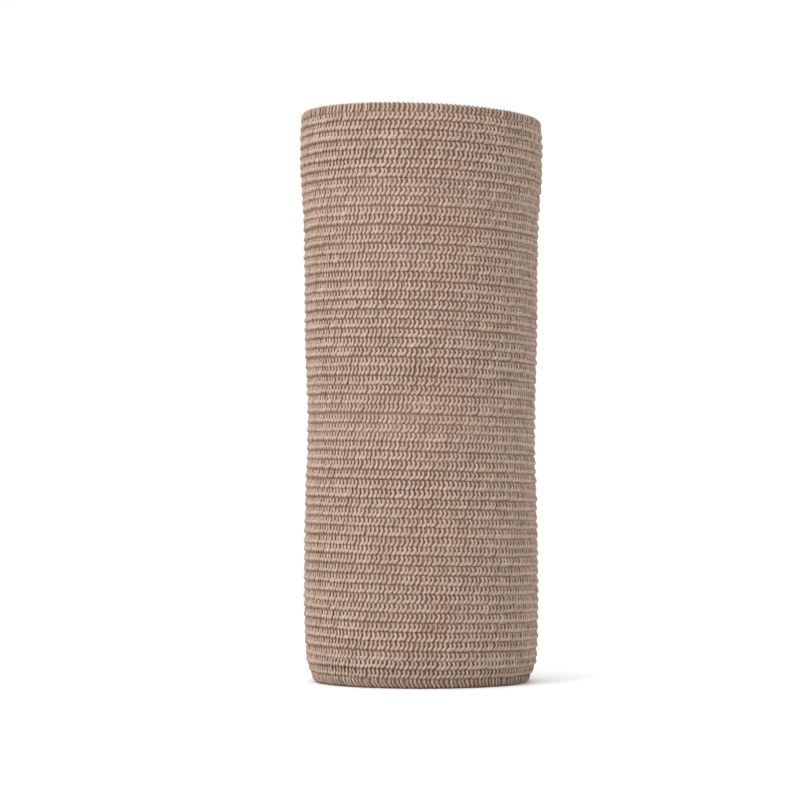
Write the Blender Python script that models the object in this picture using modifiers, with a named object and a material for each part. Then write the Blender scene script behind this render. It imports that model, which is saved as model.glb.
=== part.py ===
"""Crepe bandage roll, standing on its flat end.

One strip of ribbed elastic crepe cloth, wound without a core into a tight roll.
The solid is the wound form: a spiral outline that steps in by one thickness of
cloth at the outer cut end, a rib for every rib knitted along the strip, the
edges of the turns as one spiral ridge on the top end, and the eye in the middle.
Metres, +Z up, origin at the centre of the flat base.
"""

import math
from collections import namedtuple

import bmesh
import bpy

# Driving dimensions, in metres.
CLOTH_WIDTH = 0.150        # width of the strip, so the height of the roll
CLOTH_THICKNESS = 0.0015   # one turn of cloth, ribs included
RIB_COUNT = 62             # ribs across the width of the strip
RIB_DEPTH = 0.00045        # groove between two ribs
TURN_EDGE_DEPTH = 0.0005   # groove between the edges of two turns, on the top end
END_DISH = 0.0012          # how far the top end sinks towards the eye
EYE_RADIUS = 0.0022        # hole that the first turn is wound round
EYE_DEPTH = 0.0040         # how deep that hole is modelled, at both ends
EYE_FUNNEL = 0.0010        # drop from the innermost turn to the edge of the eye
EYE_TAPER = 0.8            # radius at the bottom of the eye, as a share of its edge
OUTER_END_ANGLE = math.radians(115.0)  # where the outer cut end lies, at the back
COLUMNS = 30               # straight facets round the roll

# Height above the base and outer diameter over the ribs, base first. The strip
# is slack at its edges, so the roll is waisted and flares a little at the top.
Section = namedtuple("Section", "height diameter")
SECTIONS = (
    Section(0.000, 0.0570),
    Section(0.003, 0.0592),
    Section(0.008, 0.0616),
    Section(0.019, 0.0624),
    Section(0.046, 0.0619),
    Section(0.067, 0.0607),
    Section(0.088, 0.0618),
    Section(0.120, 0.0627),
    Section(0.142, 0.0648),
    Section(0.150, 0.0640),
)

RIB_PITCH = CLOTH_WIDTH / RIB_COUNT
WELD_DISTANCE = 1e-6
SHARP_ANGLE = math.radians(35.0)
CLOTH_COLOUR = (0.434, 0.305, 0.235, 1.0)
CLOTH_ROUGHNESS = 0.95


def clear_scene():
    """Remove whatever the scene holds."""
    for obj in list(bpy.data.objects):
        bpy.data.objects.remove(obj, do_unlink=True)


def cloth_material():
    """Tan cotton crepe."""
    material = bpy.data.materials.new("tan_crepe")
    material.use_nodes = True
    shader = material.node_tree.nodes["Principled BSDF"]
    shader.inputs["Base Color"].default_value = CLOTH_COLOUR
    shader.inputs["Roughness"].default_value = CLOTH_ROUGHNESS
    shader.inputs["Metallic"].default_value = 0.0
    return material


def diameter_slope(row):
    """Change of diameter with height at one section, from its neighbours."""
    low = SECTIONS[max(row - 1, 0)]
    high = SECTIONS[min(row + 1, len(SECTIONS) - 1)]
    return (high.diameter - low.diameter) / (high.height - low.height)


def inner_radius(height):
    """Radius over the ribs just past the outer end, where the turn below shows.

    A smooth curve through the sections gives it.
    """
    row = max(i for i, s in enumerate(SECTIONS[:-1]) if i == 0 or s.height <= height)
    low, high = SECTIONS[row], SECTIONS[row + 1]
    span = high.height - low.height
    share = (height - low.height) / span
    rest = 1 - share
    diameter = low.diameter * (1 + 2 * share) * rest**2
    diameter += high.diameter * (1 + 2 * rest) * share**2
    diameter += span * diameter_slope(row) * share * rest**2
    diameter -= span * diameter_slope(row + 1) * share**2 * rest
    return (diameter - CLOTH_THICKNESS) / 2


def top_end_points():
    """Top end from the axis out to the rim: the eye, then every turn's edge."""
    rim = inner_radius(CLOTH_WIDTH)
    turns = int((rim - EYE_RADIUS) / CLOTH_THICKNESS)
    valley = CLOTH_WIDTH - TURN_EDGE_DEPTH
    floor = valley - EYE_DEPTH
    points = [
        (0.0, floor),
        (EYE_RADIUS * EYE_TAPER, floor),
        (EYE_RADIUS, valley - EYE_FUNNEL),
    ]
    for step in range(2 * turns, -1, -1):
        crest = step % 2 == 1
        height = CLOTH_WIDTH if crest else valley
        points.append((rim - step * CLOTH_THICKNESS / 2, height))
    return points


def side_points():
    """Outer side from the top rim down to the base: a ridge and a groove a rib."""
    points = []
    for rib in range(RIB_COUNT):
        ridge = CLOTH_WIDTH - (rib + 0.5) * RIB_PITCH
        groove = CLOTH_WIDTH - (rib + 1) * RIB_PITCH
        points.append((inner_radius(ridge), ridge))
        if rib < RIB_COUNT - 1:
            points.append((inner_radius(groove) - RIB_DEPTH, groove))
    return points


def base_points():
    """Flat base from its edge to the axis, with the eye in the middle."""
    edge = inner_radius(0.0)
    return [
        (edge, 0.0),
        (edge, 0.0),  # the edge moves out as it is wound, and the disc stays
        (EYE_RADIUS, 0.0),
        (EYE_RADIUS * EYE_TAPER, EYE_DEPTH),
        (0.0, EYE_DEPTH),
    ]


def turned_roll(collection):
    """Turn the profile into an open shell of columns, a full turn apart at its ends."""
    top, side, base = top_end_points(), side_points(), base_points()
    points = top + side + base
    profile = bpy.data.meshes.new("roll_profile")
    profile.from_pydata(
        [(radius, 0.0, height) for radius, height in points],
        [(i, i + 1) for i in range(len(points) - 1)],
        [],
    )
    obj = bpy.data.objects.new("roll_profile", profile)
    collection.objects.link(obj)
    screw = obj.modifiers.new("turn", "SCREW")
    screw.axis = "Z"
    screw.angle = math.tau * (1 - 1e-4)  # stays open, so that the turn can be wound
    screw.steps = screw.render_steps = COLUMNS
    screw.use_merge_vertices = False
    screw.use_smooth_shade = True
    graph = bpy.context.evaluated_depsgraph_get()
    mesh = bpy.data.meshes.new_from_object(obj.evaluated_get(graph))
    bpy.data.objects.remove(obj, do_unlink=True)
    still = len(points) - len(base) + 1  # first point of the base that isn't wound
    wound = [3 <= i < still for i in range(len(points))]
    return mesh, wound


def wind(bm, wound):
    """Let the radius grow by one thickness of cloth over the turn.

    The last column then meets the first one turn further out, so that the ridges
    on the top end run on as one spiral, and the outer side ends in a step.
    """
    bm.verts.ensure_lookup_table()
    for index, vert in enumerate(bm.verts):
        column, point = divmod(index, len(wound))
        share = column / COLUMNS
        radius = math.hypot(vert.co.x, vert.co.y)
        if wound[point]:
            radius += CLOTH_THICKNESS * share
        angle = OUTER_END_ANGLE + math.tau * share
        vert.co.x = radius * math.cos(angle)
        vert.co.y = radius * math.sin(angle)


def dish_top(bm):
    """Sink the top end a little towards the eye."""
    rim = inner_radius(CLOTH_WIDTH)
    for vert in bm.verts:
        if vert.co.z > CLOTH_WIDTH - TURN_EDGE_DEPTH - EYE_DEPTH - WELD_DISTANCE:
            radius = math.hypot(vert.co.x, vert.co.y)
            if radius < rim:
                vert.co.z -= END_DISH * (1 - radius / rim) ** 2


def close_cut_ends(bm):
    """Weld the spiral, and cap the strip's outer and inner ends."""
    bmesh.ops.remove_doubles(bm, verts=bm.verts, dist=WELD_DISTANCE)
    bmesh.ops.dissolve_degenerate(bm, edges=bm.edges, dist=WELD_DISTANCE)
    rims = [edge for edge in bm.edges if edge.is_boundary]
    caps = bmesh.ops.holes_fill(bm, edges=rims, sides=0)["faces"]
    bmesh.ops.triangulate(bm, faces=caps)
    bmesh.ops.recalc_face_normals(bm, faces=bm.faces)


def centre_on_base(bm):
    """Put the origin under the middle of the roll, which the spiral shifts."""
    for axis in (0, 1):
        along = [vert.co[axis] for vert in bm.verts]
        middle = (min(along) + max(along)) / 2
        for vert in bm.verts:
            vert.co[axis] -= middle


def make_roll(collection):
    """The roll: one solid of the whole wound strip."""
    mesh, wound = turned_roll(collection)
    mesh.name = "bandage_roll"
    bm = bmesh.new()
    bm.from_mesh(mesh)
    wind(bm, wound)
    dish_top(bm)
    close_cut_ends(bm)
    centre_on_base(bm)
    bm.to_mesh(mesh)
    bm.free()
    mesh.shade_smooth()
    mesh.set_sharp_from_angle(angle=SHARP_ANGLE)
    mesh.materials.clear()
    mesh.materials.append(cloth_material())
    roll = bpy.data.objects.new("bandage_roll", mesh)
    collection.objects.link(roll)
    return roll


def main():
    clear_scene()
    collection = bpy.data.collections.new("crepe_bandage_roll")
    bpy.context.scene.collection.children.link(collection)
    make_roll(collection)


main()
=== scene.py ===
"""Crepe bandage roll: the looks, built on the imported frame.

All the cloth is first laid out flat, with X along the strip from its inner end,
Y across its width and Z out of its face. One shared node tree then winds it up,
so that the strip, its stitches and its edges follow the same spiral.
"""

import math
from typing import NamedTuple

import bpy
from bpy.props import FloatProperty, FloatVectorProperty, IntProperty, PointerProperty
from bpy.types import Operator, Panel, PropertyGroup
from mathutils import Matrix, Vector


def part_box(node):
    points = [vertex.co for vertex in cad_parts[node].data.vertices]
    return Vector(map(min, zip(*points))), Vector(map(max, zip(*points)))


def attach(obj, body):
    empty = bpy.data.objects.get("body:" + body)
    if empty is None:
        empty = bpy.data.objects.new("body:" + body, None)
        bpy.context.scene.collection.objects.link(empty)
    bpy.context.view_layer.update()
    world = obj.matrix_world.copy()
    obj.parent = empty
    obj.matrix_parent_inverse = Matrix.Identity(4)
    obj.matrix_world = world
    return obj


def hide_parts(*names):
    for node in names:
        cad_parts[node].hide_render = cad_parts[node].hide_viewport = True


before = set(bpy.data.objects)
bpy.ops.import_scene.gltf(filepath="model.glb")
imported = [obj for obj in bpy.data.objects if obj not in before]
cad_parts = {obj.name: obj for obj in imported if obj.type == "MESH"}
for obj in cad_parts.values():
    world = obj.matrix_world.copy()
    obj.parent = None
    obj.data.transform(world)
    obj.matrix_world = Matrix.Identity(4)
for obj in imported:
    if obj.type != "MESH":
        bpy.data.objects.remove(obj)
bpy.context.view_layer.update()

bl_info = {
    "name": "Crepe Bandage Roll",
    "version": (1, 0, 0),
    "blender": (4, 5, 0),
    "location": "3D View > Sidebar > Bandage",
    "description": "Winds a ribbed elastic crepe bandage, stitch by stitch, round the packed roll",
    "category": "Add Mesh",
}

NODE = "bandage_roll"
ROLL_LOW, ROLL_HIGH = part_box(NODE)
ROLL_HEIGHT = ROLL_HIGH.z - ROLL_LOW.z
MM = 0.001


# --- Driving sizes and colours ---

class Level(NamedTuple):
    """The roll's outer diameter over the ribs at a height, the same as the solid's."""

    height: float
    diameter: float


OUTLINE = (
    Level(0.000, 0.0570),
    Level(0.003, 0.0592),
    Level(0.008, 0.0616),
    Level(0.019, 0.0624),
    Level(0.046, 0.0619),
    Level(0.067, 0.0607),
    Level(0.088, 0.0618),
    Level(0.120, 0.0627),
    Level(0.142, 0.0648),
    Level(0.150, 0.0640),
)
MEAN_DIAMETER = 0.062


class Bend(NamedTuple):
    """A point of a curve, in mm. On a yarn's course it has the yarn's width, by its full one."""

    along: float
    across: float
    proud: float
    width: float = 1.0


# The yarn in one stitch, from the groove above the rib to the groove below it.
STITCH_COURSE = (
    Bend(-0.16, 1.20, -0.10, 0.70),
    Bend(-0.04, 0.90, 0.18, 0.92),
    Bend(0.10, 0.52, 0.38, 0.92),
    Bend(0.20, 0.14, 0.42, 0.84),
    Bend(0.14, -0.18, 0.44, 0.86),
    Bend(-0.10, -0.46, 0.54, 1.14),
    Bend(-0.46, -0.78, 0.48, 1.20),
    Bend(-0.82, -1.10, 0.08, 0.90),
)
# The yarn round an edge of the strip, across from that edge.
EDGE_COURSE = (
    Bend(-0.36, -2.28, -0.06, 0.80),
    Bend(-0.06, -1.78, 0.40, 1.00),
    Bend(0.14, -1.28, 0.40, 0.84),
    Bend(-0.06, -0.64, 0.52, 1.00),
    Bend(0.00, -0.04, 0.10, 0.90),
    Bend(0.14, -0.25, -0.40),
    Bend(0.26, -0.95, -0.46, 0.80),
)
# A yarn end that sticks out where the strip is cut off.
STUB_COURSE = (
    Bend(-0.60, 0.00, 0.00, 0.90),
    Bend(0.00, 0.05, 0.02),
    Bend(0.45, -0.04, -0.03, 0.70),
)


def length_property(label, description, size, least):
    """A length in metres, given in mm."""
    return FloatProperty(name=label, description=description, default=size * MM,
                         min=least * MM, unit="LENGTH")


class RollSizes(PropertyGroup):
    """Sizes of the strip and its yarns."""

    cloth_thickness: length_property(
        "Cloth Thickness", "Thickness of one turn of cloth", 1.5, 0.5)
    eye_radius: length_property(
        "Eye Radius", "Hole that the first turn is wound round", 2.2, 1.0)
    outer_end: FloatProperty(
        name="Outer End", description="Where the outer cut end lies, seen from above",
        default=math.radians(115.0), unit="ROTATION")
    rib_count: IntProperty(
        name="Ribs", description="Ribs across the width of the strip", default=62, min=4)
    stitch_pitch: length_property(
        "Stitch Pitch", "Distance between stitches along a rib", 1.19, 0.3)
    yarn_width: length_property(
        "Yarn Width", "Width of the yarn in a stitch", 0.70, 0.1)
    yarn_depth: length_property(
        "Yarn Depth", "Thickness of the yarn out of the face", 0.46, 0.1)
    unevenness: length_property(
        "Unevenness", "How far the roll's surface swells and sinks", 0.25, 0.0)
    edge_shift: length_property(
        "Edge Shift", "How far turns stand proud of each other at the ends", 0.35, 0.0)
    slant: FloatProperty(
        name="Slant",
        description="How far the topmost ribs slope down to the right, seen from the front",
        default=math.radians(2.0), unit="ROTATION")


class RollFinish(PropertyGroup):
    """Colours of the cloth, of its painted shade and of the studio's floor."""

    yarn_colour: FloatVectorProperty(
        name="Yarn", description="Colour of the cotton yarn", subtype="COLOR",
        default=(0.398, 0.303, 0.240), min=0.0, max=1.0)
    # The strip's own colour, and also the painted shade that yarns take where they lie low in the
    # cloth.
    ground_and_shade_colour: FloatVectorProperty(
        name="Ground", description="Colour of the cloth behind the stitches",
        subtype="COLOR", default=(0.375, 0.225, 0.160), min=0.0, max=1.0)
    # Painted shade in the grooves between the ribs.
    groove_shade_colour: FloatVectorProperty(
        name="Groove", description="Colour of the cloth in the grooves between the ribs",
        subtype="COLOR", default=(0.260, 0.145, 0.100), min=0.0, max=1.0)
    floor_colour: FloatVectorProperty(
        name="Floor", description="Colour of the studio floor and its backdrop",
        subtype="COLOR", default=(0.90, 0.90, 0.90), min=0.0, max=1.0)


# --- Sizes worked out from the driving ones ---

def core_radius(sizes):
    """Radius of the middle of the cloth at its inner end."""
    return sizes.eye_radius + sizes.cloth_thickness / 2


def outer_radius():
    """Radius of the middle of the cloth at its outer end."""
    return MEAN_DIAMETER / 2


def length_to(radius, sizes):
    """Length of strip from the inner end to the turn of that radius."""
    return math.pi * (radius**2 - core_radius(sizes) ** 2) / sizes.cloth_thickness


def strip_length(sizes):
    return length_to(outer_radius(), sizes)


def last_turn(sizes):
    """Where the outermost turn begins, in metres from the inner end."""
    return length_to(outer_radius() - sizes.cloth_thickness, sizes)


def rib_pitch(sizes):
    return ROLL_HEIGHT / sizes.rib_count


# --- Building node trees ---

class Graph:
    """Adds nodes to a tree and links them, with values or sockets as inputs."""

    def __init__(self, tree):
        self.tree = tree

    def node(self, kind, inputs=None, **settings):
        """A node with its settings; inputs maps a name or index to a value or socket."""
        made = self.tree.nodes.new(kind)
        for name, value in settings.items():
            setattr(made, name, value)
        for key, value in (inputs or {}).items():
            self.feed(made.inputs[key], value)
        return made

    def feed(self, socket, value):
        if isinstance(value, bpy.types.NodeSocket):
            self.tree.links.new(value, socket)
        else:
            socket.default_value = value

    def math(self, operation, *values, kind="ShaderNodeMath"):
        return self.node(kind, dict(enumerate(values)), operation=operation).outputs[0]

    def vector_math(self, operation, *values):
        return self.math(operation, *values, kind="ShaderNodeVectorMath")

    def add(self, a, b):
        return self.math("ADD", a, b)

    def sub(self, a, b):
        return self.math("SUBTRACT", a, b)

    def mul(self, a, b):
        return self.math("MULTIPLY", a, b)

    def div(self, a, b):
        return self.math("DIVIDE", a, b)

    def mul_add(self, a, b, c):
        return self.math("MULTIPLY_ADD", a, b, c)

    def centred(self, value):
        """A value from 0 to 1, moved to run from -0.5 to 0.5."""
        return self.sub(value, 0.5)

    def blend(self, share, low, high):
        """From low to high as the share goes from 0 to 1."""
        return self.mul_add(share, high - low, low)

    def between(self, value, low, high, kind="LINEAR"):
        """How far the value is from low to high, from 0 to 1."""
        return self.node("ShaderNodeMapRange", {"Value": value, "From Min": low, "From Max": high},
                         interpolation_type=kind).outputs["Result"]

    def choice(self, test, when_false, when_true):
        return self.node("ShaderNodeMix", {0: test, 2: when_false, 3: when_true}).outputs[0]

    def vector(self, x, y, z=0.0):
        return self.node("ShaderNodeCombineXYZ", {0: x, 1: y, 2: z}).outputs[0]

    def parts(self, vector):
        return self.node("ShaderNodeSeparateXYZ", {0: vector}).outputs

    def noise(self, place, scale, detail=2.0):
        """Smooth noise from 0 to 1 at a place."""
        return self.node("ShaderNodeTexNoise",
                         {"Vector": place, "Scale": scale, "Detail": detail}).outputs[0]

    def hashed(self, number):
        """A number from 0 to 1 that is always the same for one input."""
        return self.node("ShaderNodeTexWhiteNoise", {"W": number},
                         noise_dimensions="1D").outputs["Value"]

    def position(self):
        return self.node("GeometryNodeInputPosition").outputs[0]

    def index(self):
        return self.node("GeometryNodeInputIndex").outputs[0]

    def index_middle(self):
        """The index and a half, for a place in a cell's middle, or a row safe from rounding."""
        return self.add(self.index(), 0.5)

    def row_and_column(self, columns):
        """Which row and column an element is in, by its index."""
        row = self.math("FLOOR", self.div(self.index_middle(), columns))
        return row, self.sub(self.index(), self.mul(row, columns))

    def moved(self, geometry, place):
        return self.node("GeometryNodeSetPosition",
                         {"Geometry": geometry, "Position": place}).outputs[0]

    def kept(self, geometry, value):
        """The geometry, and the value that each of its points has there and then."""
        made = self.node("GeometryNodeCaptureAttribute", domain="POINT")
        made.capture_items.new("FLOAT", "value")
        self.feed(made.inputs[0], geometry)
        self.feed(made.inputs[1], value)
        return made.outputs[0], made.outputs[1]

    def stored(self, geometry, name, value, domain="POINT", kind="FLOAT"):
        """The geometry with a named attribute on it."""
        made = self.node("GeometryNodeStoreNamedAttribute", {"Geometry": geometry, "Name": name},
                         data_type=kind, domain=domain)
        self.feed(next(x for x in made.inputs if x.enabled and x.name == "Value"), value)
        return made.outputs[0]

    def named(self, name, kind="FLOAT"):
        """The value of a named attribute."""
        made = self.node("GeometryNodeInputNamedAttribute", {"Name": name}, data_type=kind)
        return next(x for x in made.outputs if x.enabled)

    def face_mean(self, value):
        """The mean of a value over the corners of each face."""
        return self.node("GeometryNodeFieldOnDomain", {0: value},
                         data_type="FLOAT", domain="FACE").outputs[0]


SOCKET_TYPES = {float: "NodeSocketFloat", int: "NodeSocketInt"}


def new_tree(name, kind, inputs, outputs):
    """A node tree. Its inputs are named with their defaults, or else their socket types."""
    tree = bpy.data.node_groups.new(name, kind)
    for label, given in inputs.items():
        socket_type = SOCKET_TYPES.get(type(given), given)
        made = tree.interface.new_socket(name=label, in_out="INPUT", socket_type=socket_type)
        if socket_type != given:
            made.default_value = given
    for label, socket_type in outputs.items():
        tree.interface.new_socket(name=label, in_out="OUTPUT", socket_type=socket_type)
    graph = Graph(tree)
    given = graph.node("NodeGroupInput").outputs
    out = graph.node("NodeGroupOutput")
    return graph, given, out


def geometry_tree(name, inputs):
    return new_tree(name, "GeometryNodeTree", inputs, {"Geometry": "NodeSocketGeometry"})


class Spread(NamedTuple):
    """What a random value lies between, and its seed."""

    low: float
    high: float
    seed: int


def random_value(g, spread, kind="FLOAT"):
    """A random number or vector for each element."""
    made = g.node("FunctionNodeRandomValue", data_type=kind)
    low, high = [socket for socket in made.inputs if socket.enabled][:2]
    g.feed(low, spread.low)
    g.feed(high, spread.high)
    g.feed(made.inputs["Seed"], spread.seed)
    return next(socket for socket in made.outputs if socket.enabled)


# --- Winding ---

OUTLINE_MARGIN = 0.01       # kept free above and below the outline in its curve
SHIFTS_PER_TURN = 0.8       # how fast the turns' ends go up and down
SHIFT_DETAIL = 2.0
SHIFT_FADE = (0.9, 2.0)     # turns in from the outer end, where they begin to
SLOPE_FADE = (-0.02, 0.08)  # where the ribs' slope sets in, by the roll's height
LEAST_SLOPE = 0.5           # of the lowest ribs, by that of the topmost
SWELLS_PER_METRE = 38.0
SWELL_DETAIL = 1.5


def outline_share(g, level):
    """The roll's diameter by the mean one, at a level from 0 at its base to 1 at its top."""
    shares = [row.diameter / MEAN_DIAMETER for row in OUTLINE]
    low = min(shares) - OUTLINE_MARGIN
    span = max(shares) + OUTLINE_MARGIN - low
    first, *others, last = [(row.height / ROLL_HEIGHT, (share - low) / span)
                            for row, share in zip(OUTLINE, shares)]
    curve = g.node("ShaderNodeFloatCurve", {"Value": level})
    points = curve.mapping.curves[0].points
    points[0].location = first
    points[-1].location = last
    for place in others:
        points.new(*place)
    curve.mapping.update()
    return g.mul_add(curve.outputs[0], span, low)


def spiral(g, given, along):
    """The spiral's radius and angle at a length of strip, and the turns still to go."""
    thick, core = given["Cloth Thickness"], given["Core Radius"]
    grown = g.div(g.mul(thick, along), math.pi)
    radius = g.math("SQRT", g.add(g.mul(core, core), grown))
    to_go = g.div(g.sub(given["Outer Radius"], radius), thick)
    angle = g.sub(given["Outer End"], g.mul(to_go, math.tau))
    return radius, angle, to_go


def stepped(g, given, across, to_go):
    """Each turn stands a little higher or lower than the next; the outermost doesn't."""
    drift = g.node("ShaderNodeTexNoise",
                   {"W": to_go, "Scale": SHIFTS_PER_TURN, "Detail": SHIFT_DETAIL},
                   noise_dimensions="1D").outputs[0]
    inner = g.between(to_go, *SHIFT_FADE, "SMOOTHSTEP")
    return g.add(across, g.mul(g.mul(drift, inner), given["Edge Shift"]))


def sloped(g, given, height, level, eastward):
    """The ribs slope down to the right, and more so the higher they are.

    The base lies level, and nothing is under the floor.
    """
    raised = g.between(level, *SLOPE_FADE, "SMOOTHSTEP")
    raised = g.mul(raised, g.blend(level, LEAST_SLOPE, 1.0))
    slope = g.mul(eastward, given["Slant"])
    return g.math("MAXIMUM", g.sub(height, g.mul(slope, raised)), 0.0)


def swollen(g, given, place):
    """Slow swells, the same for all that lies at one place."""
    swell = g.centred(g.noise(place, SWELLS_PER_METRE, SWELL_DETAIL))
    swell = g.mul(g.mul(swell, given["Unevenness"]), 2.0)
    swell = g.add(1.0, g.div(swell, given["Outer Radius"]))
    return g.vector_math("MULTIPLY", place, g.vector(swell, swell, 1.0))


def winding_tree(sizes):
    """Node group that winds flat cloth into the roll."""
    name = "wind_up"
    if name in bpy.data.node_groups:
        return bpy.data.node_groups[name]
    g, given, out = geometry_tree(name, {
        "Geometry": "NodeSocketGeometry",
        "Cloth Thickness": sizes.cloth_thickness,
        "Core Radius": core_radius(sizes),
        "Outer Radius": outer_radius(),
        "Outer End": sizes.outer_end,
        "Height": ROLL_HEIGHT,
        "Unevenness": sizes.unevenness,
        "Edge Shift": sizes.edge_shift,
        "Slant": sizes.slant,
    })
    along, across, proud = g.parts(g.position())
    radius, angle, to_go = spiral(g, given, along)
    east, north = g.math("COSINE", angle), g.math("SINE", angle)
    height = stepped(g, given, across, to_go)
    level = g.div(height, given["Height"])
    height = sloped(g, given, height, level, g.mul(radius, east))
    far = g.mul(g.add(radius, proud), outline_share(g, level))
    place = swollen(g, given, g.vector(g.mul(far, east), g.mul(far, north), height))

    # The spiral is a quarter of a turn's thickness off centre, and the roll isn't.
    off = g.div(given["Cloth Thickness"], -4.0)
    place = g.vector_math("ADD", place, g.vector(off, off))
    g.feed(out.inputs[0], g.moved(given["Geometry"], place))
    return g.tree


def wound(g, out, geometry, sizes, material):
    """Ends a tree: winds the flat geometry up, realizes it and gives it its material."""
    wind = g.node("GeometryNodeGroup", node_tree=winding_tree(sizes))
    g.feed(wind.inputs["Geometry"], geometry)
    smooth = g.node("GeometryNodeSetShadeSmooth", {"Geometry": wind.outputs[0]})
    real = g.node("GeometryNodeRealizeInstances", {"Geometry": smooth.outputs[0]})
    cloth = g.node("GeometryNodeSetMaterial", {"Geometry": real.outputs[0], "Material": material})
    g.feed(out.inputs[0], cloth.outputs[0])
    return g.tree


# --- Pieces ---

def course_curve(name, course, closed=False):
    """A curve object through points given in mm, for a node tree to read."""
    data = bpy.data.curves.new(name, "CURVE")
    data.dimensions = "3D"
    spline = data.splines.new("POLY")
    spline.points.add(len(course) - 1)
    spline.use_cyclic_u = closed
    for point, bend in zip(spline.points, course):
        point.co = (MM * bend.along, MM * bend.across, MM * bend.proud, 1.0)
        point.radius = bend.width
    obj = bpy.data.objects.new(name, data)
    bpy.context.scene.collection.objects.link(obj)
    return obj


def baked_piece(name, tree, values):
    """Runs a tree on an empty mesh and keeps the result as a plain mesh object.

    It rides on the roll's body.
    """
    scratch = bpy.data.objects.new(name + "_scratch", bpy.data.meshes.new(name + "_scratch"))
    bpy.context.scene.collection.objects.link(scratch)
    modifier = scratch.modifiers.new("nodes", "NODES")
    modifier.node_group = tree
    sockets = {item.name: item.identifier for item in tree.interface.items_tree
               if item.item_type == "SOCKET" and item.in_out == "INPUT"}
    for label, value in values.items():
        modifier[sockets[label]] = value
    graph = bpy.context.evaluated_depsgraph_get()
    mesh = bpy.data.meshes.new_from_object(scratch.evaluated_get(graph), depsgraph=graph)
    if not mesh.polygons:
        raise RuntimeError(name + ": the node tree made no faces")
    mesh.name = name
    empty = scratch.data
    bpy.data.objects.remove(scratch)
    bpy.data.meshes.remove(empty)
    piece = bpy.data.objects.new(name, mesh)
    bpy.context.scene.collection.objects.link(piece)
    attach(piece, "root")
    return piece


def yarn_pieces(tree, course, rows):
    """Makes a piece of yarns for each name in rows, with the inputs given there."""
    curve = course_curve("course", course)
    for name, values in rows.items():
        baked_piece(name, tree, {"Course": curve, **values})
    bpy.data.objects.remove(curve)


# --- Materials ---

BLOTCHES_PER_METRE = 260.0
BLOTCH_DETAIL = 3.0
FIBRES_PER_METRE = 5200.0
MOTTLE = (0.85, 1.15)      # how dark and how light blotches and fibres make the cotton
SIDE_SHADE = 0.10          # painted shade: how much darker a yarn's sides are than its middle
SIDE_SHADE_MIX = 0.45           # and how much nearer they are to the painted shade colour
DYE_STEP = 7.13            # makes a second, unlike number of a yarn's tone
DYE_RANGE = (0.93, 1.07)   # saturation of the least and the most dyed yarn
FIBRE_RELIEF = 0.45        # shares of the height that fibres and plies have
PLY_RELIEF = 0.55
PLY_SHADE = 0.12           # how dark the painted shade in the grooves between a yarn's plies is
THREAD_SHADE = 0.35        # and the painted shade between the strip's own threads
MIDDLE_TONE = 0.5
STITCH_TONES = 0.30        # how much lighter the palest yarns are than the darkest
LOOSE_TONES = 0.35         # the same for the edges and the cut end
YARN_BUMP = 0.05 * MM
GROUND_BUMP = 0.08 * MM
YARN_FUZZ = 0.2
GROUND_FUZZ = 0.1
FUZZ_ROUGHNESS = 0.45
FUZZ_TINT = (1.0, 0.86, 0.76, 1.0)
COTTON_ROUGHNESS = 0.92
COTTON_SPECULAR = 0.25
GROOVE_SIDE = (0.32, 0.47)  # rib pitches from a rib's middle, between which the painted shade of its groove sets in
LOW_RIBS = (4.0, 2.0)       # ribs above the base, between which the painted groove shade gets broader
LOW_GROOVE = 0.12           # by how much


def cotton_tree():
    """Shader node group for spun cotton: its colour with painted shade, and its plies and fibres
    as a height.
    """
    name = "spun_cotton"
    if name in bpy.data.node_groups:
        return bpy.data.node_groups[name]
    g, given, out = new_tree(
        name, "ShaderNodeTree",
        {"Raised": "NodeSocketColor", "Sunk": "NodeSocketColor", "Depth": 1.0,
         "Tone": MIDDLE_TONE, "Tone Range": STITCH_TONES, "Side": 0.0, "Ply": 0.0,
         "Ply Shade": PLY_SHADE},
        {"Colour": "NodeSocketColor", "Height": "NodeSocketFloat"})
    place = g.node("ShaderNodeTexCoord").outputs["Object"]
    blotch = g.noise(place, BLOTCHES_PER_METRE, BLOTCH_DETAIL)
    fibre = g.noise(place, FIBRES_PER_METRE)
    # From 0 in the groove between two plies to 1 on top of one.
    wave = g.mul_add(g.math("SINE", g.mul(given["Ply"], math.tau)), 0.5, 0.5)

    value = g.mul_add(g.sub(given["Tone"], MIDDLE_TONE), given["Tone Range"], 1.0)
    value = g.mul(value, g.blend(blotch, *MOTTLE))
    value = g.mul(value, g.blend(fibre, *MOTTLE))
    # Painted shade in the grooves between the plies.
    groove = g.mul(g.sub(1.0, wave), given["Ply Shade"])
    value = g.mul(value, g.sub(1.0, groove))

    # Painted shade: a yarn is palest along its middle, darker and warmer towards its sides, and
    # what lies low in the cloth goes towards the shade colour.
    aside = g.mul(given["Side"], given["Side"])
    value = g.mul(value, g.blend(aside, 1.0, 1.0 - SIDE_SHADE))
    pale = g.mul(given["Depth"], g.blend(aside, 1.0, 1.0 - SIDE_SHADE_MIX))

    # Yarns differ in how much dye they took, apart from how light they are.
    dyed = g.math("FRACT", g.mul(given["Tone"], DYE_STEP))
    base = g.node("ShaderNodeMix", {"Factor": pale}, data_type="RGBA")
    g.feed(base.inputs["A"], given["Sunk"])
    g.feed(base.inputs["B"], given["Raised"])
    tinted = g.node("ShaderNodeHueSaturation",
                    {"Saturation": g.blend(dyed, *DYE_RANGE), "Color": base.outputs["Result"]})
    colour = g.node("ShaderNodeVectorMath", {0: tinted.outputs[0], "Scale": value},
                    operation="SCALE")
    g.feed(out.inputs["Colour"], colour.outputs[0])
    g.feed(out.inputs["Height"], g.mul_add(fibre, FIBRE_RELIEF, g.mul(wave, PLY_RELIEF)))
    return g.tree


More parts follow.
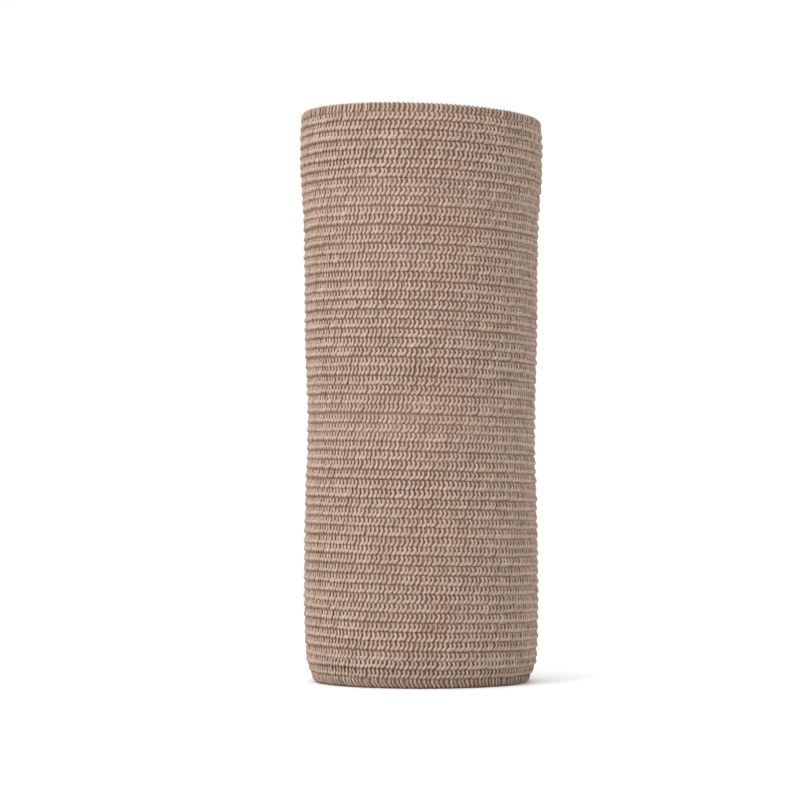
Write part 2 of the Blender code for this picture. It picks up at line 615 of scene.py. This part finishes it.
def cloth_material(name, values, attributes, bump_height, fuzz):
    """A matt cotton surface. The cotton group gets plain values and the piece's attributes."""
    material = bpy.data.materials.new(name)
    material.use_nodes = True
    g = Graph(material.node_tree)
    shader = material.node_tree.nodes["Principled BSDF"]
    cotton = g.node("ShaderNodeGroup", node_tree=cotton_tree(), name="cotton")
    for label, value in values.items():
        g.feed(cotton.inputs[label], value)
    for label in attributes:
        read = g.node("ShaderNodeAttribute", attribute_name=label.lower())
        g.feed(cotton.inputs[label], read.outputs["Fac"])
    bump = g.node("ShaderNodeBump", {"Height": cotton.outputs["Height"],
                                     "Distance": bump_height, "Strength": 1.0})
    g.feed(shader.inputs["Base Color"], cotton.outputs["Colour"])
    g.feed(shader.inputs["Normal"], bump.outputs[0])
    shader.inputs["Roughness"].default_value = COTTON_ROUGHNESS
    shader.inputs["Specular IOR Level"].default_value = COTTON_SPECULAR
    shader.inputs["Sheen Weight"].default_value = fuzz
    shader.inputs["Sheen Roughness"].default_value = FUZZ_ROUGHNESS
    shader.inputs["Sheen Tint"].default_value = FUZZ_TINT
    return material


def yarn_material(name, finish, tones):
    """Yarn on the face of the cloth, with painted shade in the ground's colour where it dips into
    it.
    """
    values = {"Raised": (*finish.yarn_colour, 1.0), "Sunk": (*finish.ground_and_shade_colour, 1.0),
              "Tone Range": tones}
    return cloth_material(name, values, ("Tone", "Depth", "Side", "Ply"), YARN_BUMP, YARN_FUZZ)


def ground_material(finish):
    """The strip's own cloth, with painted shade where the grooves between the ribs run."""
    values = {"Raised": (*finish.ground_and_shade_colour, 1.0), "Sunk": (*finish.groove_shade_colour, 1.0),
              "Ply Shade": THREAD_SHADE}
    material = cloth_material("crepe_ground", values, ("Ply",), GROUND_BUMP, GROUND_FUZZ)
    g = Graph(material.node_tree)
    rib = g.node("ShaderNodeAttribute", attribute_name="rib").outputs["Fac"]
    from_middle = g.math("ABSOLUTE", g.centred(g.math("FRACT", rib)))
    # Painted shade: the grooves' shade reaches further over the lowest ribs.
    from_middle = g.mul_add(g.between(rib, *LOW_RIBS), LOW_GROOVE, from_middle)
    groove = g.between(from_middle, *GROOVE_SIDE, "SMOOTHSTEP")
    cotton = material.node_tree.nodes["cotton"]
    g.feed(cotton.inputs["Depth"], g.sub(1.0, groove))
    return material


# --- Yarns ---

TUBE_SIDES = 4
PLIES_ALONG = 4.5        # grooves between plies that cross a yarn over its length
PLIES_ACROSS = 1.4       # and over its width
BAKE_MAP = "OFBake"      # each piece's own map, on which no two faces overlap
# A yarn in its cell of the map: its sides unrolled, its first end below and its last above.
SIDES_U = (0.04, 0.96)
SIDES_V = (0.15, 0.85)
END_U = (0.35, 0.65)
END_V = (0.01, 0.11)
LAST_END = 0.88          # how much higher the last end lies than the first
END_FACE = 0.4999        # only an end's face is as far as this from the middle of a tube


class Scatter(NamedTuple):
    """How far yarns are turned, in radians, and grown about X, Y and Z, and the seed."""

    turn: tuple
    grow: tuple
    seed: int


def yarn_inputs(sizes, course_points):
    """The inputs of a tree that sets yarns along a course."""
    return {
        "Course": "NodeSocketObject",
        "Course Points": course_points,
        "Yarn Width": sizes.yarn_width,
        "Yarn Depth": sizes.yarn_depth,
    }


def around(g, spot, spots):
    """How far round a closed section a face's corner is, from 0 to 1.

    A spot is a point's number. In the face from the last back to spot 0, that counts as 1.
    """
    wraps = g.mul(g.math("LESS_THAN", spot, 0.5), g.math("GREATER_THAN", g.face_mean(spot), 1.0))
    return g.div(g.mul_add(wraps, spots, spot), spots)


def is_end(g, along):
    """1 on the two faces that close a tube, whose corners are all at its start or end."""
    from_middle = g.math("ABSOLUTE", g.centred(g.face_mean(along)))
    return g.math("GREATER_THAN", from_middle, END_FACE)


def with_map(g, tube, along, spot):
    """Lays a yarn's faces out in one cell of the map."""
    u = g.blend(around(g, spot, TUBE_SIDES), *SIDES_U)
    v = g.blend(along, *SIDES_V)
    # An end's four corners are a square, in the order in which they go round.
    right = g.math("COMPARE", spot, 1.5, 0.6)
    upper = g.math("GREATER_THAN", spot, 1.5)
    end_u = g.blend(right, *END_U)
    end_v = g.mul_add(along, LAST_END, g.blend(upper, *END_V))
    end = is_end(g, along)
    place = g.vector(g.choice(end, u, end_u), g.choice(end, v, end_v))
    return g.stored(tube, BAKE_MAP, place, "CORNER", "FLOAT2")


def yarn_tube(g, given):
    """One yarn along its course: a flattened tube of four sides, closed at its ends."""
    course = g.node("GeometryNodeObjectInfo", {"Object": given["Course"]})
    smooth = g.node("GeometryNodeCurveSplineType", {"Curve": course.outputs["Geometry"]},
                    spline_type="CATMULL_ROM")
    spaced = g.node("GeometryNodeResampleCurve",
                    {"Curve": smooth.outputs[0], "Count": given["Course Points"]})
    level = g.node("GeometryNodeSetCurveNormal", {"Curve": spaced.outputs[0]}, mode="Z_UP")
    rail, along = g.kept(level.outputs[0],
                         g.node("GeometryNodeSplineParameter").outputs["Factor"])
    section = g.node("GeometryNodeCurvePrimitiveQuadrilateral",
                     {"Width": given["Yarn Width"], "Height": given["Yarn Depth"]},
                     mode="RECTANGLE")
    ring, spot = g.kept(section.outputs[0], g.index())
    ring, aside = g.kept(ring, g.div(g.parts(g.position())[0], given["Yarn Width"]))
    width = g.node("GeometryNodeInputRadius").outputs[0]
    tube = g.node("GeometryNodeCurveToMesh", {"Curve": rail, "Profile Curve": ring,
                                              "Scale": width, "Fill Caps": True}).outputs[0]
    # Plies run slantwise round the yarn.
    tube = g.stored(tube, "ply", g.mul_add(along, PLIES_ALONG, g.mul(aside, PLIES_ACROSS)))
    # From -1 at one side of it to 1 at the other.
    tube = g.stored(tube, "side", g.mul(aside, 2.0))
    return with_map(g, tube, along, spot)


def scattered(g, points, count, yarn, scatter, tone, shape=(1.0, 1.0, 1.0)):
    """Sets a yarn on every point, each turned and grown a little, with its own tone."""
    back = tuple(-angle for angle in scatter.turn)
    turned = random_value(g, Spread(back, scatter.turn, scatter.seed), "FLOAT_VECTOR")
    least = tuple(1 - share for share in scatter.grow)
    most = tuple(1 + share for share in scatter.grow)
    sized = random_value(g, Spread(least, most, scatter.seed + 1), "FLOAT_VECTOR")
    placed = g.node("GeometryNodeInstanceOnPoints",
                    {"Points": points, "Instance": yarn,
                     "Scale": g.vector_math("MULTIPLY", sized, shape)})
    g.feed(placed.inputs["Rotation"],
           g.node("FunctionNodeEulerToRotation", {0: turned}).outputs[0])
    toned = g.stored(placed.outputs[0], "tone", tone, "INSTANCE")
    # The map is a square of cells, one for each yarn.
    side = g.math("CEIL", g.math("SQRT", count))
    row, column = g.row_and_column(side)
    celled = g.stored(toned, "cell", g.vector(column, row), "INSTANCE", "FLOAT_VECTOR")
    real = g.node("GeometryNodeRealizeInstances", {"Geometry": celled}).outputs[0]
    place = g.vector_math("ADD", g.named(BAKE_MAP, "FLOAT_VECTOR"),
                          g.named("cell", "FLOAT_VECTOR"))
    place = g.vector_math("DIVIDE", place, g.vector(side, side, 1.0))
    mapped = g.stored(real, BAKE_MAP, place, "CORNER", "FLOAT2")
    return g.node("GeometryNodeRemoveAttribute", {"Geometry": mapped, "Name": "cell"}).outputs[0]


def with_depth(g, geometry, low, high):
    """Stores how far each point stands out of the cloth, from 0 at low to 1 at high; the materials
    paint shade on what lies low.
    """
    return g.stored(geometry, "depth", g.between(g.parts(g.position())[2], low, high))


# --- The ribs ---

BANDS = ("ribs_1", "ribs_2", "ribs_3", "ribs_4")  # the pieces that share the ribs out
STITCH_SCATTER = Scatter((0.12, 0.10, 0.14), (0.10, 0.07, 0.14), 11)
STITCH_STEP = Spread(-0.10, 0.10, 5)  # how far a stitch is out of step, by the pitch
STITCH_TONE = Spread(-0.15, 0.40, 13)
PATCH_TONE = 0.6                      # how much of its tone a stitch shares with those near it
RIB_TONE = 0.15                       # and with its whole rib
# Heights out of the cloth over which a stitch goes from painted shade to its own colour.
STITCH_DEPTH = (-0.15 * MM, 0.60 * MM)
RIB_MIDDLE = (0.42, 0.58)             # where a rib's middle may lie between its grooves
RIB_WIDTH = (0.94, 1.06)              # how wide a rib may be
WANDER = 0.6 * MM                     # how far a rib may wander up and down
BULGE = (0.5, 1.5)                    # how far stitches may bulge sideways
NARROW_RIBS = (4.0, 1.0)              # ribs from an edge, between which they get narrower
NARROWING = 0.10                      # by how much
# Each of a rib's own random numbers is drawn at the rib's number plus one of these.
STEP_DRAW, MIDDLE_DRAW, WIDTH_DRAW, TONE_DRAW = 0.0, 0.37, 0.53, 0.71


class Drift(NamedTuple):
    """Noise over the ribs: how fast it changes along and across them, and its slice."""

    per_metre: float
    per_rib: float
    slice: float = 0.0


WANDER_DRIFT = Drift(60.0, 0.7, 3.0)
TONE_DRIFT = Drift(130.0, 0.9)
BULGE_DRIFT = Drift(90.0, 0.8, 7.0)


def drifting(g, along, rib, drift):
    """Noise from 0 to 1 that changes slowly along a rib and from rib to rib."""
    place = g.vector(g.mul(along, drift.per_metre), g.mul(rib, drift.per_rib), drift.slice)
    return g.noise(place, 1.0)


def drawn(g, rib, draw):
    """One of a rib's own random numbers, from 0 to 1."""
    return g.hashed(g.add(rib, draw))


def stitch_tone(g, along, rib):
    """A stitch's tone follows its rib and its neighbours as well as chance."""
    whole_rib = g.mul(drawn(g, rib, TONE_DRAW), RIB_TONE)
    tone = g.mul_add(drifting(g, along, rib, TONE_DRIFT), PATCH_TONE, whole_rib)
    return g.add(tone, random_value(g, STITCH_TONE))


def stitch_shape(g, along, rib, ribs):
    """How much a stitch is stretched along the rib, across it and out of the face.

    The ribs are of unlike width, and the last few before an edge are narrower.
    """
    from_middle = g.math("ABSOLUTE", g.sub(g.add(rib, 0.5), ribs / 2))
    narrowed = g.between(g.sub(ribs / 2, from_middle), *NARROW_RIBS)
    width = g.blend(drawn(g, rib, WIDTH_DRAW), *RIB_WIDTH)
    width = g.mul_add(narrowed, -NARROWING, width)
    return g.vector(g.blend(drifting(g, along, rib, BULGE_DRIFT), *BULGE), width, 1.0)


def rib_tree(sizes, material):
    """A band of ribs: rows of bent yarns, each in the crook of the next."""
    start, end = last_turn(sizes), strip_length(sizes)
    g, given, out = geometry_tree("knitted_ribs", {
        **yarn_inputs(sizes, len(STITCH_COURSE) + 1),
        "First Rib": 0,
        "Ribs": sizes.rib_count,
        "Stitches": math.ceil((end - start) / sizes.stitch_pitch),
        "Rib Pitch": rib_pitch(sizes),
        "Stitch Pitch": sizes.stitch_pitch,
        "Start": start,
        "End": end - sizes.yarn_width / 2,
    })
    row, column = g.row_and_column(given["Stitches"])
    rib = g.add(row, given["First Rib"])
    # Neighbouring ribs aren't in step, and no rib is quite straight or evenly spaced.
    column = g.add(g.add(column, drawn(g, rib, STEP_DRAW)), random_value(g, STITCH_STEP))
    along = g.mul_add(column, given["Stitch Pitch"], given["Start"])
    middle = g.blend(drawn(g, rib, MIDDLE_DRAW), *RIB_MIDDLE)
    across = g.mul(g.add(rib, middle), given["Rib Pitch"])
    across = g.mul_add(g.centred(drifting(g, along, rib, WANDER_DRIFT)), WANDER, across)
    count = g.mul(given["Ribs"], given["Stitches"])
    points = g.node("GeometryNodePoints", {"Count": count, "Position": g.vector(along, across)})
    beyond = g.math("GREATER_THAN", g.parts(g.position())[0], given["End"])
    points = g.node("GeometryNodeDeleteGeometry",
                    {"Geometry": points.outputs[0], "Selection": beyond})
    placed = scattered(g, points.outputs[0], count, yarn_tube(g, given), STITCH_SCATTER,
                       stitch_tone(g, along, rib), stitch_shape(g, along, rib, sizes.rib_count))
    return wound(g, out, with_depth(g, placed, *STITCH_DEPTH), sizes, material)


# --- The bound edges ---

class Edge(NamedTuple):
    """An edge of the strip: which way its loops face and lean, and how wide they are."""

    piece: str
    facing: float
    lean: float
    yarn_width: float


EDGES = (
    Edge("edge_top", 1.0, 0.08, 0.64 * MM),
    Edge("edge_base", -1.0, -0.45, 0.62 * MM),
)
LOOP_SCATTER = Scatter((0.10, 0.06, 0.12), (0.12, 0.05, 0.05), 23)
LOOP_STEP = Spread(-0.12, 0.12, 7)    # how far a loop is out of step, by the pitch
LOOP_TONE = Spread(-0.30, 0.70, 25)
# Heights out of the cloth over which an edge loop goes from painted shade to its own colour.
LOOP_DEPTH = (-0.75 * MM, -0.4 * MM)


def edge_tree(sizes, material):
    """Yarns that go round an edge of the strip, side by side over its whole length."""
    g, given, out = geometry_tree("bound_edge", {
        **yarn_inputs(sizes, len(EDGE_COURSE)),
        "Loops": int(strip_length(sizes) / sizes.stitch_pitch),
        "Stitch Pitch": sizes.stitch_pitch,
        "Edge": ROLL_HEIGHT,
        "Facing": 1.0,
        "Origin": 0.0,
        "Lean": 0.0,
    })
    column = g.add(g.index_middle(), random_value(g, LOOP_STEP))
    along = g.mul(column, given["Stitch Pitch"])
    points = g.node("GeometryNodePoints",
                    {"Count": given["Loops"], "Position": g.vector(along, 0.0)})
    placed = scattered(g, points.outputs[0], given["Loops"], yarn_tube(g, given),
                       LOOP_SCATTER, random_value(g, LOOP_TONE))
    deep = with_depth(g, placed, *LOOP_DEPTH)
    # For the lower edge it is turned end for end, so that it isn't mirrored.
    x, y, z = g.parts(g.position())
    leaning = g.mul_add(y, given["Lean"], x)
    turned = g.vector(g.mul_add(leaning, given["Facing"], given["Origin"]),
                      g.mul_add(y, given["Facing"], given["Edge"]), z)
    return wound(g, out, g.moved(deep, turned), sizes, material)


# --- The cut end ---

STUB_PIECE = "cut_end"
STUBS_PER_RIB = 3
STUB_POINTS = 4
STUB_WIDTH = 0.5 * MM
STUB_THICKNESS = 0.35 * MM
STUB_SCATTER = Scatter((0.3, 0.25, 0.45), (0.5, 0.2, 0.2), 34)
STUB_ACROSS = Spread(-0.3 * MM, 0.3 * MM, 31)     # how far each lies out of the row
STUB_ALONG = Spread(-0.35 * MM, 0.35 * MM, 32)
STUB_PROUD = Spread(-0.25 * MM, 0.25 * MM, 33)
STUB_TONE = Spread(0.0, 1.0, 35)
# Heights out of the cloth over which a cut yarn end goes from painted shade to its own colour.
STUB_DEPTH = (-0.8 * MM, 0.2 * MM)
STUB_SPAN = (0.02, 0.98)                          # of the strip's width, from its lower edge


def stub_tree(sizes, material):
    """Short yarn ends in a row across the strip, where its outer end is cut off."""
    g, given, out = geometry_tree("cut_yarns", {
        **yarn_inputs(sizes, STUB_POINTS),
        "Stubs": sizes.rib_count * STUBS_PER_RIB,
        "Place": strip_length(sizes),
        "Width": ROLL_HEIGHT,
    })
    share = g.blend(g.div(g.index_middle(), given["Stubs"]), *STUB_SPAN)
    across = g.add(g.mul(share, given["Width"]), random_value(g, STUB_ACROSS))
    along = g.add(given["Place"], random_value(g, STUB_ALONG))
    place = g.vector(along, across, random_value(g, STUB_PROUD))
    points = g.node("GeometryNodePoints", {"Count": given["Stubs"], "Position": place})
    placed = scattered(g, points.outputs[0], given["Stubs"], yarn_tube(g, given),
                       STUB_SCATTER, random_value(g, STUB_TONE))
    return wound(g, out, with_depth(g, placed, *STUB_DEPTH), sizes, material)


# --- The strip itself ---

STRIP_COLUMNS = 850        # cross-sections along the strip, closer together near the eye
STRIP_CROWDING = 4 / 3     # power that crowds them there
FACE_LEVEL = 0.50 * MM     # where the strip's faces lie, out of its middle
BARE_LEVEL = 0.10 * MM     # where its outer face lies under the stitches of the last turn
THREAD_PITCH = 0.42 * MM   # between the fine threads of the strip itself
# The section's rounded corner: how far in from the strip's edge, and out of its middle.
SECTION_CORNER = ((0.40 * MM, 0.16 * MM), (0.55 * MM, 0.38 * MM), (0.90 * MM, FACE_LEVEL))
# How far in from the edge it has its other points, up to the middle of the width.
SECTION_FLAT = (3 * MM, 8 * MM, 17 * MM, 30 * MM, 45 * MM, 60 * MM, ROLL_HEIGHT / 2)
HIDDEN_MAP = 0.5           # share of the map for all the turns but the outermost
STRIP_U = (0.02, 0.98)
END_SPREAD = 0.01          # half the width of an end's face on the map


def strip_section():
    """The strip's section, once round: its outer face, then its inner face."""
    half = [*SECTION_CORNER, *((inset, FACE_LEVEL) for inset in SECTION_FLAT)]
    half = [((ROLL_HEIGHT / 2 - inset) / MM, level / MM) for inset, level in half]
    outer = half + [(-x, y) for x, y in reversed(half[:-1])]
    once_round = outer + [(x, -y) for x, y in reversed(outer)]
    return [Bend(x, y, 0.0) for x, y in once_round]


def strip_rail(g, given):
    """The line that the section is drawn along, and how far along it each point is."""
    line = g.node("GeometryNodeCurvePrimitiveLine",
                  {"Start": (0, 0, 0), "End": g.vector(given["Length"], 0.0)})
    spaced = g.node("GeometryNodeResampleCurve",
                    {"Curve": line.outputs[0], "Count": given["Columns"]})
    share = g.node("GeometryNodeSplineParameter").outputs["Factor"]
    along = g.mul(g.math("POWER", share, STRIP_CROWDING), given["Length"])
    crowded = g.moved(spaced.outputs[0], g.vector(along, 0.0))
    level = g.node("GeometryNodeSetCurveNormal", {"Curve": crowded}, mode="Z_UP")
    return g.kept(level.outputs[0], g.div(along, given["Length"]))


def strip_map(g, given, position, done, turned):
    """Where a corner of the strip lies on the map, half of which the outermost turn takes."""
    x, y, z = position
    last = g.div(g.sub(x, given["Bare From"]), g.sub(given["Length"], given["Bare From"]))
    u = g.choice(g.math("GREATER_THAN", x, given["Bare From"]),
                 g.mul(g.div(x, given["Bare From"]), HIDDEN_MAP),
                 g.blend(last, HIDDEN_MAP, 1.0))
    u = g.blend(u, *STRIP_U)
    end_u = g.add(u, g.mul(z, END_SPREAD / FACE_LEVEL))
    end_v = g.div(y, given["Width"])
    end = is_end(g, done)
    return g.vector(g.choice(end, u, end_u), g.choice(end, turned, end_v))


def strip_tree(sizes, material, spots):
    """The strip itself: a flat bar with rounded edges, wound up."""
    g, given, out = geometry_tree("wound_strip", {
        "Section": "NodeSocketObject",
        "Columns": STRIP_COLUMNS,
        "Length": strip_length(sizes),
        "Width": ROLL_HEIGHT,
        "Bare Level": BARE_LEVEL,
        "Bare From": last_turn(sizes),
        "Thread Pitch": THREAD_PITCH,
        "Rib Pitch": rib_pitch(sizes),
    })
    rail, done = strip_rail(g, given)
    section = g.node("GeometryNodeObjectInfo", {"Object": given["Section"]})
    ring, spot = g.kept(section.outputs["Geometry"], g.index())
    bar = g.node("GeometryNodeCurveToMesh",
                 {"Curve": rail, "Profile Curve": ring, "Fill Caps": True}).outputs[0]
    # From the middle of the width to its lower edge, and down to the bare face.
    position = g.parts(g.position())
    x, y, z = position
    bare = g.mul(g.math("GREATER_THAN", x, given["Bare From"]),
                 g.math("GREATER_THAN", z, given["Bare Level"]))
    upward = g.add(y, g.mul(given["Width"], 0.5))
    cloth = g.moved(bar, g.vector(x, upward, g.choice(bare, z, given["Bare Level"])))
    # The cloth has moved, so from here on y runs from 0 at its lower edge.
    cloth = g.stored(cloth, "ply", g.div(x, given["Thread Pitch"]))
    cloth = g.stored(cloth, "rib", g.div(y, given["Rib Pitch"]))
    place = strip_map(g, given, position, done, around(g, spot, spots))
    cloth = g.stored(cloth, BAKE_MAP, place, "CORNER", "FLOAT2")
    return wound(g, out, cloth, sizes, material)


# --- Makers ---

class BandageOperator:
    """What all the makers share."""

    bl_options = {"REGISTER", "UNDO"}

    @staticmethod
    def settings(context):
        return context.scene.bandage_sizes, context.scene.bandage_finish


class BANDAGE_OT_knit_ribs(BandageOperator, Operator):
    """Knit the ribs of the outermost turn, stitch by stitch"""

    bl_idname = "bandage.knit_ribs"
    bl_label = "Knit Ribs"

    def execute(self, context):
        sizes, finish = self.settings(context)
        tree = rib_tree(sizes, yarn_material("crepe_yarn", finish, STITCH_TONES))
        # The bound edges take the place of the first and the last rib.
        inner = sizes.rib_count - 2
        firsts = [1 + round(inner * band / len(BANDS)) for band in range(len(BANDS) + 1)]
        rows = {name: {"First Rib": first, "Ribs": after - first}
                for name, first, after in zip(BANDS, firsts, firsts[1:])}
        yarn_pieces(tree, STITCH_COURSE, rows)
        return {"FINISHED"}


class BANDAGE_OT_bind_edges(BandageOperator, Operator):
    """Bind the two edges of the strip with yarn, over all the turns"""

    bl_idname = "bandage.bind_edges"
    bl_label = "Bind Edges"

    def execute(self, context):
        sizes, finish = self.settings(context)
        tree = edge_tree(sizes, yarn_material("edge_yarn", finish, LOOSE_TONES))
        inset = sizes.yarn_depth / 2
        rows = {}
        for edge in EDGES:
            upright = edge.facing > 0
            rows[edge.piece] = {
                "Edge": ROLL_HEIGHT - inset if upright else inset,
                "Origin": 0.0 if upright else strip_length(sizes),
                "Facing": edge.facing, "Lean": edge.lean, "Yarn Width": edge.yarn_width}
        yarn_pieces(tree, EDGE_COURSE, rows)
        return {"FINISHED"}


class BANDAGE_OT_fray_end(BandageOperator, Operator):
    """Leave short yarn ends standing where the strip is cut off"""

    bl_idname = "bandage.fray_end"
    bl_label = "Fray End"

    def execute(self, context):
        sizes, finish = self.settings(context)
        tree = stub_tree(sizes, yarn_material("stub_yarn", finish, LOOSE_TONES))
        rows = {STUB_PIECE: {"Yarn Width": STUB_WIDTH, "Yarn Depth": STUB_THICKNESS}}
        yarn_pieces(tree, STUB_COURSE, rows)
        return {"FINISHED"}


class BANDAGE_OT_wind_strip(BandageOperator, Operator):
    """Wind the strip of cloth that carries the ribs, the edges and the cut end"""

    bl_idname = "bandage.wind_strip"
    bl_label = "Wind Strip"

    def execute(self, context):
        sizes, finish = self.settings(context)
        points = strip_section()
        section = course_curve("strip_section", points, closed=True)
        tree = strip_tree(sizes, ground_material(finish), len(points))
        piece = baked_piece("bandage_strip", tree, {"Section": section})
        bpy.data.objects.remove(section)
        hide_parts(NODE)
        return {"FINISHED"}


class BANDAGE_OT_set_stage(BandageOperator, Operator):
    """Set up the floor, the lights and the camera"""

    bl_idname = "bandage.set_stage"
    bl_label = "Set Stage"

    def execute(self, context):
        _, finish = self.settings(context)
        make_floor(finish)
        make_lights()
        make_camera()
        return {"FINISHED"}


# --- Stage ---

FLOOR_FLAT = 1.2      # radius of the bowl's flat middle
FLOOR_BEND = 0.8      # radius of the bend between it and the wall
FLOOR_TOP = 1.6
BEND_STEPS = 12
FLOOR_STEPS = 96      # round the whole bowl
FLOOR_MERGE = 1e-5
FLOOR_ROUGHNESS = 0.9
FLOOR_SPECULAR = 0.1


class SoftBox(NamedTuple):
    """A light that faces the roll, with its width and height, and its power in watts."""

    name: str
    place: tuple
    size: tuple
    power: float


SOFT_BOXES = (
    SoftBox("left_box", (-0.65, -0.75, 0.45), (0.5, 0.8), 8.0),
    SoftBox("top_light", (0.0, 0.1, 1.1), (1.0, 1.0), 4.0),
)
SKY_STRENGTH = 1.1    # straight ahead
SKY_FALL = -0.6       # how much it changes to the right

LENS = 120.7          # in mm, as is the sensor's width
SENSOR_WIDTH = 36.0
CAMERA_PLACE = (-0.0056, -0.715, 0.051)
CAMERA_TILT = 1.9     # degrees up from level


def floor_profile():
    """Half of the bowl's section: flat, round the bend and up the wall."""
    profile = [(0.0, 0.0)]
    for step in range(BEND_STEPS + 1):
        angle = math.radians(90) * step / BEND_STEPS
        profile.append((FLOOR_FLAT + FLOOR_BEND * math.sin(angle),
                        FLOOR_BEND * (1 - math.cos(angle))))
    profile.append((FLOOR_FLAT + FLOOR_BEND, FLOOR_TOP))
    return profile


def floor_material(finish):
    material = bpy.data.materials.new("pale_floor")
    material.use_nodes = True
    shader = material.node_tree.nodes["Principled BSDF"]
    shader.inputs["Base Color"].default_value = (*finish.floor_colour, 1.0)
    shader.inputs["Roughness"].default_value = FLOOR_ROUGHNESS
    shader.inputs["Specular IOR Level"].default_value = FLOOR_SPECULAR
    return material


def make_floor(finish):
    """A seamless pale bowl: flat under the roll, rising far behind it all round."""
    profile = floor_profile()
    mesh = bpy.data.meshes.new("floor_profile")
    mesh.from_pydata([(x, 0.0, z) for x, z in profile],
                     [(i, i + 1) for i in range(len(profile) - 1)], [])
    floor = bpy.data.objects.new("floor", mesh)
    bpy.context.scene.collection.objects.link(floor)
    turn = floor.modifiers.new("turn", "SCREW")
    turn.steps = FLOOR_STEPS
    turn.render_steps = FLOOR_STEPS
    turn.use_merge_vertices = True
    turn.merge_threshold = FLOOR_MERGE
    turn.use_smooth_shade = True
    graph = bpy.context.evaluated_depsgraph_get()
    bowl = bpy.data.meshes.new_from_object(floor.evaluated_get(graph))
    floor.modifiers.clear()
    floor.data = bowl
    bpy.data.meshes.remove(mesh)
    bowl.materials.append(floor_material(finish))


def area_light(box, aim):
    data = bpy.data.lights.new(box.name, "AREA")
    data.shape = "RECTANGLE"
    data.size, data.size_y = box.size
    data.energy = box.power
    light = bpy.data.objects.new(box.name, data)
    bpy.context.scene.collection.objects.link(light)
    light.location = box.place
    direction = Vector([b - a for a, b in zip(box.place, aim)])
    light.rotation_euler = direction.to_track_quat("-Z", "Y").to_euler()


def make_lights():
    """A tall soft box in front, a broad light above, and a sky that is paler at the left."""
    for box in SOFT_BOXES:
        area_light(box, (0.0, 0.0, ROLL_HEIGHT / 2))
    world = bpy.data.worlds.new("studio")
    bpy.context.scene.world = world
    world.use_nodes = True
    background = world.node_tree.nodes["Background"]
    background.inputs["Color"].default_value = (1.0, 1.0, 1.0, 1.0)
    g = Graph(world.node_tree)
    rightward = g.parts(g.node("ShaderNodeTexCoord").outputs["Generated"])[0]
    g.feed(background.inputs["Strength"], g.mul_add(rightward, SKY_FALL, SKY_STRENGTH))


def make_camera():
    """The photograph's view: level with the lower half of the roll, tipped up a little."""
    data = bpy.data.cameras.new("camera")
    data.lens = LENS
    data.sensor_width = SENSOR_WIDTH
    camera = bpy.data.objects.new("camera", data)
    bpy.context.scene.collection.objects.link(camera)
    camera.location = CAMERA_PLACE
    camera.rotation_euler = (math.radians(90.0 + CAMERA_TILT), 0.0, 0.0)
    bpy.context.scene.camera = camera


# --- Panel and registration ---

class BANDAGE_PT_maker(Panel):
    """Sizes, colours and makers of the bandage roll"""

    bl_idname = "BANDAGE_PT_maker"
    bl_label = "Crepe Bandage Roll"
    bl_space_type = "VIEW_3D"
    bl_region_type = "UI"
    bl_category = "Bandage"

    def draw(self, context):
        layout = self.layout
        for group in (context.scene.bandage_sizes, context.scene.bandage_finish):
            box = layout.box()
            for name in group.bl_rna.properties.keys():
                if name not in ("rna_type", "name"):
                    box.prop(group, name)
        for maker in MAKERS:
            layout.operator(maker.bl_idname)


MAKERS = (
    BANDAGE_OT_set_stage,
    BANDAGE_OT_knit_ribs,
    BANDAGE_OT_bind_edges,
    BANDAGE_OT_fray_end,
    BANDAGE_OT_wind_strip,
)
CLASSES = (RollSizes, RollFinish, *MAKERS, BANDAGE_PT_maker)


def register():
    for cls in CLASSES:
        bpy.utils.register_class(cls)
    bpy.types.Scene.bandage_sizes = PointerProperty(type=RollSizes)
    bpy.types.Scene.bandage_finish = PointerProperty(type=RollFinish)


def unregister():
    del bpy.types.Scene.bandage_finish
    del bpy.types.Scene.bandage_sizes
    for cls in reversed(CLASSES):
        bpy.utils.unregister_class(cls)


def main():
    register()
    bpy.context.scene.view_settings.view_transform = "Standard"
    bpy.ops.bandage.set_stage()
    bpy.ops.bandage.knit_ribs()
    bpy.ops.bandage.bind_edges()
    bpy.ops.bandage.fray_end()
    bpy.ops.bandage.wind_strip()


if __name__ == "__main__":
    main()
